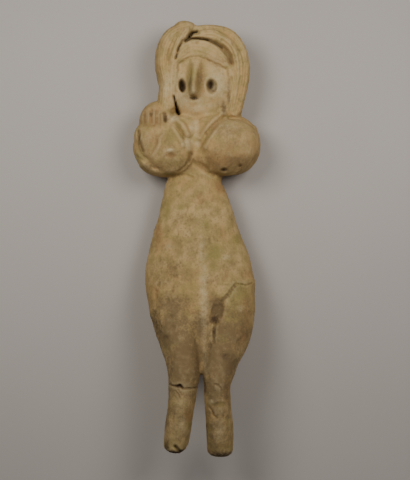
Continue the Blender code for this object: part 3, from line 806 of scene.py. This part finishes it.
def chip_and_wear(mesh, sizes):
    """Knocks chips out of the edges and gives the skin its lumps, grain and small pits."""
    places = vectors_of(mesh, "co")
    inward = -vectors_of(mesh, "normal")
    laid_out = places / MM
    depth = np.zeros(len(places))
    rubble = rough(laid_out, size=0.9, seed=2, octaves=4)
    for centre, half_sizes, deep in CHIPS:
        out = np.linalg.norm((laid_out - centre) / half_sizes, axis=1)
        depth += deep * np.clip(CHIP_EDGE - out + RUBBLE_HEIGHT * rubble, 0, 1)
    for centre, half_sizes, turn, _, steepness in SPALL_ON_THE_LEFT_THIGH:
        out = turned_ellipse(laid_out[:, :2], centre, half_sizes, turn)
        depth += RUBBLE_HEIGHT * rubble * np.exp(-(out**steepness)) * (inward[:, 2] < 0)
    depth += sizes.hand_lumps / TRUE_MM * rough(laid_out, size=5.0, seed=3, octaves=2)
    depth += sizes.grain_height / TRUE_MM * rough(laid_out, size=1.1, seed=4, octaves=4)
    deepest = np.clip(rough(laid_out, size=0.8, seed=5, octaves=1) - PIT_LEVEL, 0, 1)
    crowded = np.clip(rough(laid_out, size=6, seed=6, octaves=1) - CROWD_LEVEL, 0, 1)
    depth += sizes.pit_depth / TRUE_MM * PIT_STEEPNESS * (deepest * crowded)
    places += inward * depth[:, None] * MM
    put_places(mesh, places)


def lay_on_flats(mesh):
    """Moves the mesh over the frame's solid and wears its back down to the same flats."""
    places = vectors_of(mesh, "co")
    middle = (places.min(axis=0) + places.max(axis=0)) / 2
    target = (SOLID_LOW + SOLID_HIGH) / 2
    shift = np.array([target.x - middle[0], target.y - middle[1], SOLID_LOW.z - WORN_FLAT * MM])
    places += shift
    places[:, 2] = np.maximum(places[:, 2], SOLID_LOW.z)
    put_places(mesh, places)
    return shift


def hollowness(mesh, rounds=7):
    """How far each vertex lies in a hollow (above zero) or on an edge (below), in mm."""
    places = vectors_of(mesh, "co") / MM
    ends = np.empty(len(mesh.edges) * 2, np.int32)
    mesh.edges.foreach_get("vertices", ends)
    ends = ends.reshape(-1, 2)
    ends = np.vstack([ends, ends[:, ::-1]])
    count = np.maximum(np.bincount(ends[:, 0], minlength=len(places)), 1)
    smooth = places
    for _ in range(rounds):
        sums = [np.bincount(ends[:, 0], smooth[ends[:, 1], axis], len(places)) for axis in range(3)]
        smooth = np.column_stack(sums) / count[:, None]
    return ((smooth - places) * vectors_of(mesh, "normal")).sum(axis=1)


def paint(mesh, name, values):
    """Keeps a value at each vertex for the material to read."""
    layer = mesh.attributes.new(name, "FLOAT", "POINT")
    layer.data.foreach_set("value", values.astype(np.float32))


def paint_patches(mesh, shift):
    """Paints where stains, painted shade and painted highlights lie on the front, how hollow the skin is, and
    painted shade by how deep it was pressed.
    """
    seen = (vectors_of(mesh, "co") - shift) / MM
    front = np.clip(vectors_of(mesh, "normal")[:, 2] + REACH_ROUND_THE_SIDES, 0, 1)
    for name, patches in PATCHES.items():
        strength = np.zeros(len(seen))
        for centre, half_sizes, most in patches:
            out = turned_ellipse(seen[:, :2], centre, half_sizes)
            strength = np.maximum(strength, most * np.exp(-PATCH_FADE * out**2))
        paint(mesh, name, strength * front)
    # Painted shade in the grooves and holes, stronger the deeper they were pressed.
    soil = np.zeros(len(seen))
    for half_width, depth, line in GROOVES + CRACKS:
        if depth > SHALLOW:
            away = distance_to_line(seen[:, :2], line, SHADE_REACH * half_width)
            share = min(1, depth / DEEP)
            soil = np.maximum(soil, share * np.exp(-((away / half_width) ** 2)))
    for centre, half_sizes, turn, depth, steepness in SPOTS:
        out = turned_ellipse(seen[:, :2], centre, half_sizes, turn)
        soil = np.maximum(soil, min(1, depth / DEEP) * np.exp(-(out**steepness)))
    paint(mesh, "soil", soil)
    paint(mesh, "hollow", hollowness(mesh))


def add_node(tree, kind, inputs=None, **settings):
    """A node with its settings, and its inputs set to values or joined to sockets."""
    made = tree.nodes.new(kind)
    for name, value in settings.items():
        setattr(made, name, value)
    for name, value in (inputs or {}).items():
        if isinstance(value, bpy.types.NodeSocket):
            tree.links.new(value, made.inputs[name])
        else:
            made.inputs[name].default_value = value
    return made


def add_group(tree, group, inputs):
    """A node that holds a group, with its inputs set or joined."""
    return add_node(tree, "ShaderNodeGroup", inputs, node_tree=group)


def math_node(tree, operation, first, second=0.0):
    """The result of one sum."""
    return add_node(tree, "ShaderNodeMath", {0: first, 1: second}, operation=operation).outputs[0]


def noise_node(tree, vector, scale, detail=3.0, roughness=0.55):
    """Noise from 0 to 1, with that many cells to the vector's unit."""
    settings = {"Vector": vector, "Scale": scale, "Detail": detail, "Roughness": roughness}
    return add_node(tree, "ShaderNodeTexNoise", settings).outputs["Fac"]


def spread(tree, value, low, high, to_low=0.0, to_high=1.0):
    """The value's share of the way from low to high, as a number from to_low to to_high."""
    inputs = {"Value": value, "From Min": low, "From Max": high, "To Min": to_low, "To Max": to_high}
    return add_node(tree, "ShaderNodeMapRange", inputs, interpolation_type="SMOOTHSTEP").outputs[0]


def mix_colour(tree, share, under, over):
    """Lays one colour over another by a share."""
    inputs = dict(zip(COLOUR_MIX_INPUTS, (share, under, over)))
    return add_node(tree, "ShaderNodeMix", inputs, data_type="RGBA").outputs[COLOUR_MIX_RESULT]


def new_group(name, inputs, outputs):
    """A shader node group with named sockets, and its two ends."""
    group = bpy.data.node_groups.new(name, "ShaderNodeTree")
    for label, kind in inputs:
        group.interface.new_socket(label, in_out="INPUT", socket_type=kind)
    for label, kind in outputs:
        group.interface.new_socket(label, in_out="OUTPUT", socket_type=kind)
    return group, group.nodes.new("NodeGroupInput"), group.nodes.new("NodeGroupOutput")


def ragged_patch_group():
    """Breaks up the soft edge of a painted patch into blotches and specks."""
    group, start, end = new_group(
        "Ragged Patch",
        [("Patch", "NodeSocketFloat"), ("Vector", "NodeSocketVector"), ("Blotch Scale", "NodeSocketFloat")],
        [("Stain", "NodeSocketFloat")],
    )
    patch, vector, scale = (start.outputs[label] for label in ("Patch", "Vector", "Blotch Scale"))
    blotches = noise_node(group, vector, scale, 4.0, 0.6)
    fine = noise_node(group, vector, math_node(group, "MULTIPLY", scale, 5.0), 3.0, 0.6)
    noisy = math_node(group, "ADD", math_node(group, "MULTIPLY", blotches, 1.5), fine)
    unevenness = math_node(group, "SUBTRACT", noisy, 1.25)
    broken = math_node(group, "MULTIPLY", unevenness, math_node(group, "SQRT", patch))
    total = math_node(group, "ADD", patch, broken)
    group.links.new(spread(group, total, 0.05, 0.95), end.inputs["Stain"])
    return group


def clay_skin_group():
    """The kneaded skin's height, its dark specks and its pale grit."""
    group, start, end = new_group(
        "Clay Skin",
        [("Vector", "NodeSocketVector"), ("Grain Scale", "NodeSocketFloat")],
        [("Height", "NodeSocketFloat"), ("Specks", "NodeSocketFloat"), ("Grit", "NodeSocketFloat")],
    )
    vector, scale = start.outputs["Vector"], start.outputs["Grain Scale"]
    grain = noise_node(group, vector, scale, 6.0, 0.62)
    coarse = noise_node(group, vector, math_node(group, "MULTIPLY", scale, 0.3), 4.0, 0.55)
    height = math_node(group, "ADD", grain, math_node(group, "MULTIPLY", coarse, 1.2))
    group.links.new(height, end.inputs["Height"])
    specks = noise_node(group, vector, math_node(group, "MULTIPLY", scale, 0.9), 2.0, 0.5)
    group.links.new(spread(group, specks, 0.64, 0.74), end.inputs["Specks"])
    grit = noise_node(group, vector, math_node(group, "MULTIPLY", scale, 1.4), 2.0, 0.5)
    group.links.new(spread(group, grit, 0.66, 0.75), end.inputs["Grit"])
    return group


def fired_clay(colours):
    """Buff clay with greenish, reddish and brown stains, paler worn edges and dark specks, with painted shade
    in its hollows, grooves, holes and folds, on the legs and by the nose, and a few painted highlights.
    """
    material = bpy.data.materials.new("fired_clay")
    material.use_nodes = True
    tree = material.node_tree
    shader = tree.nodes["Principled BSDF"]
    coordinates = add_node(tree, "ShaderNodeTexCoord").outputs["Object"]
    to_mm = (1 / TRUE_MM,) * 3
    where = add_node(tree, "ShaderNodeMapping", {"Vector": coordinates, "Scale": to_mm}).outputs["Vector"]

    def painted(name):
        return add_node(tree, "ShaderNodeAttribute", attribute_name=name).outputs["Fac"]

    ragged = ragged_patch_group()

    def ragged_patch(name, scale):
        inputs = {"Patch": painted(name), "Vector": where, "Blotch Scale": scale}
        return add_group(tree, ragged, inputs).outputs["Stain"]

    skin = add_group(tree, clay_skin_group(), {"Vector": where, "Grain Scale": GRAIN_PER_MM})

    clouds = spread(tree, noise_node(tree, where, CLOUDS_PER_MM, 4.0, 0.6), 0.35, 0.65)
    colour = mix_colour(tree, clouds, colours.buff, colours.ochre)
    mottle = spread(tree, noise_node(tree, where, MOTTLE_PER_MM, 5.0, 0.65), 0.4, 0.66, 0.0, 0.6)
    colour = mix_colour(tree, mottle, colour, colours.olive)
    drawn_out = add_node(tree, "ShaderNodeMapping", {"Vector": where, "Scale": (1, 0.5, 1)}).outputs["Vector"]
    smudges = spread(tree, noise_node(tree, drawn_out, SMUDGES_PER_MM, 4.0, 0.6), 0.48, 0.74, 0.0, 0.4)
    colour = mix_colour(tree, smudges, colour, colours.umber)
    blush = spread(tree, noise_node(tree, where, BLUSH_PER_MM, 4.0, 0.6), 0.56, 0.76, 0.0, 0.4)
    colour = mix_colour(tree, blush, colour, colours.rust)
    # Greenish and reddish stains; some of their patches are painted shade on the nose's sides, beside the
    # chin, by the left cheek and on the left breast.
    colour = mix_colour(tree, ragged_patch("olive", 0.55), colour, colours.olive)
    colour = mix_colour(tree, ragged_patch("rust", 0.6), colour, colours.rust)
    # Brown: partly darker clay, mostly painted shade on the legs, belly, breasts, folds, hand and nose.
    darkened = math_node(tree, "MULTIPLY", ragged_patch("umber", 0.4), 0.9)
    colour = mix_colour(tree, darkened, colour, colours.umber)
    # Pale bloom, and painted highlights along the left thigh's inner edge and painted light beside the chin.
    colour = mix_colour(tree, ragged_patch("pale", 0.7), colour, colours.chalk_and_highlight)

    hollow = painted("hollow")
    worn = spread(tree, hollow, -0.03, -0.14, 0.0, 0.22)
    colour = mix_colour(tree, worn, colour, colours.chalk_and_highlight)
    grit = math_node(tree, "MULTIPLY", skin.outputs["Grit"], 0.25)
    colour = mix_colour(tree, grit, colour, colours.chalk_and_highlight)
    specks = math_node(tree, "MULTIPLY", skin.outputs["Specks"], 0.35)
    colour = mix_colour(tree, specks, colour, colours.specks_and_shade)
    # Dark marks on the chips and spall, and painted shade in the eye holes, under the nose, in pits, along
    # the left leg's inner edge and at the foot ends.
    colour = mix_colour(tree, ragged_patch("soot", 0.9), colour, colours.specks_and_shade)
    # Painted shade: the hollows are darkened.
    hollow_shade = spread(tree, hollow, 0.06, 0.4, 0.0, 0.45)
    colour = mix_colour(tree, hollow_shade, colour, colours.specks_and_shade)
    # Painted shade in the grooves and holes, darker the deeper they were pressed.
    soil = math_node(tree, "MULTIPLY", painted("soil"), 0.7)
    colour = mix_colour(tree, soil, colour, colours.specks_and_shade)
    tree.links.new(colour, shader.inputs["Base Color"])

    roughness = spread(tree, skin.outputs["Height"], 0.6, 1.5, 0.78, 0.96)
    tree.links.new(roughness, shader.inputs["Roughness"])
    shader.inputs["Specular IOR Level"].default_value = 0.25
    bump = add_node(
        tree,
        "ShaderNodeBump",
        {"Height": skin.outputs["Height"], "Strength": 0.55, "Distance": 0.00009},
    )
    tree.links.new(bump.outputs["Normal"], shader.inputs["Normal"])
    return material


def table_paint(settings):
    """The smooth pale paint of the table, with a faint unevenness."""
    material = bpy.data.materials.new("table_paint")
    material.use_nodes = True
    tree = material.node_tree
    shader = tree.nodes["Principled BSDF"]
    where = add_node(tree, "ShaderNodeTexCoord").outputs["Object"]
    patchy = spread(tree, noise_node(tree, where, 14.0, 3.0), 0.3, 0.7, 0.0, 0.06)
    colour = mix_colour(tree, patchy, settings.table_colour, settings.scuff_colour)
    tree.links.new(colour, shader.inputs["Base Color"])
    shader.inputs["Roughness"].default_value = 0.6
    return material


def add_lamp(name, place, size, power, colour):
    """A soft square lamp that shines on the middle of the figurine."""
    data = bpy.data.lights.new(name, "AREA")
    data.energy = power
    data.size = size
    data.color = colour[:3]
    lamp = bpy.data.objects.new(name, data)
    lamp.location = place
    lamp.rotation_euler = (-Vector(place)).to_track_quat("-Z", "Y").to_euler()
    lamp.visible_camera = False
    bpy.context.scene.collection.objects.link(lamp)


class FigurineSizes(PropertyGroup):
    """How finely the clay is worked."""

    grain: FloatProperty(
        name="Grain", description="Size of the skin's cells", default=0.26 * MM, unit="LENGTH"
    )
    smoothing: IntProperty(
        name="Smoothing", description="How often the joins are smoothed", default=14, min=0
    )
    comb_depth: FloatProperty(
        name="Comb Depth", description="Depth of the combed lines", default=0.00022, unit="LENGTH"
    )
    hand_lumps: FloatProperty(
        name="Hand Lumps", description="Height of the lumps left by hand", default=0.00013, unit="LENGTH"
    )
    grain_height: FloatProperty(
        name="Grain Height", description="Height of the coarse grain", default=0.00005, unit="LENGTH"
    )
    pit_depth: FloatProperty(
        name="Pit Depth", description="Depth of the small pits", default=0.00012, unit="LENGTH"
    )
    triangles: IntProperty(
        name="Triangles", description="Triangles left after thinning out", default=188000, min=1000
    )


def colour_property(name, description, default):
    return FloatVectorProperty(
        name=name, description=description, default=default, subtype="COLOR", size=4, min=0, max=1
    )


class FigurineColours(PropertyGroup):
    """The colours of the fired clay and of what stained it."""

    buff: colour_property("Buff", "The clay itself", (0.50, 0.35, 0.157, 1.0))
    ochre: colour_property("Ochre", "Warmer clouds in the clay", (0.44, 0.283, 0.111, 1.0))
    # Partly darker clay of the knees, mostly painted shade on the legs, belly, breasts, folds and nose.
    umber: colour_property("Umber", "Darker clay of the knees and folds", (0.15, 0.102, 0.047, 1.0))
    # Greenish stains, also painted shade on the nose's right side.
    olive: colour_property("Olive", "Greenish stains", (0.29, 0.23, 0.074, 1.0))
    # Reddish stains, also painted shade on the nose's left side, beside the chin, by the left cheek and on
    # the left breast.
    rust: colour_property("Rust", "Reddish stains", (0.31, 0.182, 0.07, 1.0))
    # Worn edges, pale grit and bloom, also painted highlights along the left thigh's inner edge and painted
    # light beside the chin.
    chalk_and_highlight: colour_property("Chalk", "Worn edges and pale bloom", (0.56, 0.445, 0.25, 1.0))
    # Dark specks and marks, and painted shade in the hollows, grooves, eye holes, pits and at the foot ends.
    specks_and_shade: colour_property("Earth", "Soil in the hollows", (0.06, 0.036, 0.018, 1.0))


class TableSettings(PropertyGroup):
    """The table, its lamps and the camera over it."""

    table_size: FloatProperty(
        name="Table Size", description="Side of the table top", default=3.0, unit="LENGTH"
    )
    table_colour: colour_property("Table Colour", "Paint of the table", (0.46, 0.425, 0.39, 1.0))
    scuff_colour: colour_property("Scuff Colour", "Where the paint is scuffed", (0.2, 0.19, 0.18, 1.0))
    lamp_size: FloatProperty(
        name="Lamp Size", description="Side of each lamp", default=0.08, unit="LENGTH"
    )
    key_place: FloatVectorProperty(
        name="Key Place", description="Place of the main lamp", default=(-0.075, 0.065, 0.16), unit="LENGTH"
    )
    key_power: FloatProperty(name="Key Power", description="Main lamp", default=0.178, unit="POWER")
    key_colour: colour_property("Key Colour", "Light of the main lamp", (1.0, 0.97, 0.92, 1.0))
    side_place: FloatVectorProperty(
        name="Side Place", description="Place of the second lamp", default=(0.085, 0.065, 0.16), unit="LENGTH"
    )
    side_power: FloatProperty(name="Side Power", description="Second lamp", default=0.170, unit="POWER")
    side_colour: colour_property("Side Colour", "Light of the second lamp", (1.0, 0.96, 0.92, 1.0))
    room_colour: colour_property("Room Colour", "Light of the room", (0.95, 0.97, 1.0, 1.0))
    room_strength: FloatProperty(
        name="Room Strength", description="How bright the room is", default=0.13, min=0
    )
    camera_place: FloatVectorProperty(
        name="Camera Place",
        description="Place of the camera in the figurine's layout",
        default=(1.94 * MM, -1.4 * MM, 300 * MM),
        unit="LENGTH",
    )
    lens: FloatProperty(name="Lens", description="Focal length in mm", default=99.2)


class FIGURINE_OT_press_clay(Operator):
    """Press rolls and lumps of clay together into one skin"""

    bl_idname = "figurine.press_clay"
    bl_label = "Press the Clay Together"

    def execute(self, context):
        sizes = context.scene.figurine_sizes
        clay = bmesh.new()
        for roll in ROLLS:
            add_roll(clay, roll)
        for lump in LUMPS.values():
            add_lump(clay, *lump)
        bmesh.ops.recalc_face_normals(clay, faces=clay.faces)
        piece = new_object(PIECE, clay)
        join = piece.modifiers.new("knead", "REMESH")
        join.mode = "VOXEL"
        join.voxel_size = sizes.grain
        smooth = piece.modifiers.new("smooth the joins", "SMOOTH")
        smooth.iterations = sizes.smoothing
        settle(piece)
        return {"FINISHED"}


class FIGURINE_OT_carve_and_wear(Operator):
    """Comb, carve, crack, chip and colour the pressed clay, and paint where its stains, painted shade and
    highlights lie
    """

    bl_idname = "figurine.carve_and_wear"
    bl_label = "Carve and Wear the Clay"

    def execute(self, context):
        sizes = context.scene.figurine_sizes
        piece = bpy.data.objects[PIECE]
        carve(piece.data, sizes)
        chip_and_wear(piece.data, sizes)
        thin = piece.modifiers.new("thin out", "DECIMATE")
        thin.ratio = sizes.triangles / (2 * len(piece.data.polygons))
        settle(piece)
        shift = lay_on_flats(piece.data)
        piece[MOVED] = shift
        paint_patches(piece.data, shift)
        piece.data.shade_smooth()
        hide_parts(SOLID)
        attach(piece, "root")
        return {"FINISHED"}


class FIGURINE_OT_fire(Operator):
    """Give the clay its fired and stained surface, with its painted shade and highlights"""

    bl_idname = "figurine.fire"
    bl_label = "Fire and Stain the Clay"

    def execute(self, context):
        piece = bpy.data.objects[PIECE]
        piece.data.materials.clear()
        piece.data.materials.append(fired_clay(context.scene.figurine_colours))
        return {"FINISHED"}


class FIGURINE_OT_set_table(Operator):
    """Lay out the pale table, its lamps and the camera over it"""

    bl_idname = "figurine.set_table"
    bl_label = "Set the Table"

    def execute(self, context):
        settings = context.scene.figurine_table
        top = bmesh.new()
        bmesh.ops.create_grid(top, x_segments=1, y_segments=1, size=settings.table_size / 2)
        table = new_object("table_top", top)
        table.data.materials.append(table_paint(settings))
        side = settings.lamp_size
        add_lamp("key_lamp", settings.key_place, side, settings.key_power, settings.key_colour)
        add_lamp("side_lamp", settings.side_place, side, settings.side_power, settings.side_colour)
        world = bpy.data.worlds.new("soft_room")
        world.use_nodes = True
        background = world.node_tree.nodes["Background"]
        background.inputs["Color"].default_value = settings.room_colour
        background.inputs["Strength"].default_value = settings.room_strength
        context.scene.world = world
        data = bpy.data.cameras.new("camera")
        data.sensor_fit = "HORIZONTAL"
        data.sensor_width = SENSOR_WIDTH
        data.lens = settings.lens
        data.clip_start = NEAREST_SEEN
        camera = bpy.data.objects.new("camera", data)
        camera.location = Vector(bpy.data.objects[PIECE][MOVED]) + Vector(settings.camera_place)
        context.scene.collection.objects.link(camera)
        context.scene.camera = camera
        return {"FINISHED"}


class FIGURINE_PT_sidebar(Panel):
    """The figurine's steps and settings"""

    bl_label = "Clay Figurine"
    bl_space_type = "VIEW_3D"
    bl_region_type = "UI"
    bl_category = "Figurine"

    def draw(self, context):
        for settings, steps in (
            (context.scene.figurine_sizes, (FIGURINE_OT_press_clay, FIGURINE_OT_carve_and_wear)),
            (context.scene.figurine_colours, (FIGURINE_OT_fire,)),
            (context.scene.figurine_table, (FIGURINE_OT_set_table,)),
        ):
            box = self.layout.box()
            for name in settings.__annotations__:
                box.prop(settings, name)
            for step in steps:
                box.operator(step.bl_idname)


CLASSES = (
    FigurineSizes,
    FigurineColours,
    TableSettings,
    FIGURINE_OT_press_clay,
    FIGURINE_OT_carve_and_wear,
    FIGURINE_OT_fire,
    FIGURINE_OT_set_table,
    FIGURINE_PT_sidebar,
)


def register():
    for each in CLASSES:
        bpy.utils.register_class(each)
    bpy.types.Scene.figurine_sizes = PointerProperty(type=FigurineSizes)
    bpy.types.Scene.figurine_colours = PointerProperty(type=FigurineColours)
    bpy.types.Scene.figurine_table = PointerProperty(type=TableSettings)


def unregister():
    del bpy.types.Scene.figurine_table
    del bpy.types.Scene.figurine_colours
    del bpy.types.Scene.figurine_sizes
    for each in reversed(CLASSES):
        bpy.utils.unregister_class(each)


def main():
    register()
    bpy.ops.figurine.press_clay()
    bpy.ops.figurine.carve_and_wear()
    bpy.ops.figurine.fire()
    bpy.ops.figurine.set_table()


if __name__ == "__main__":
    main()
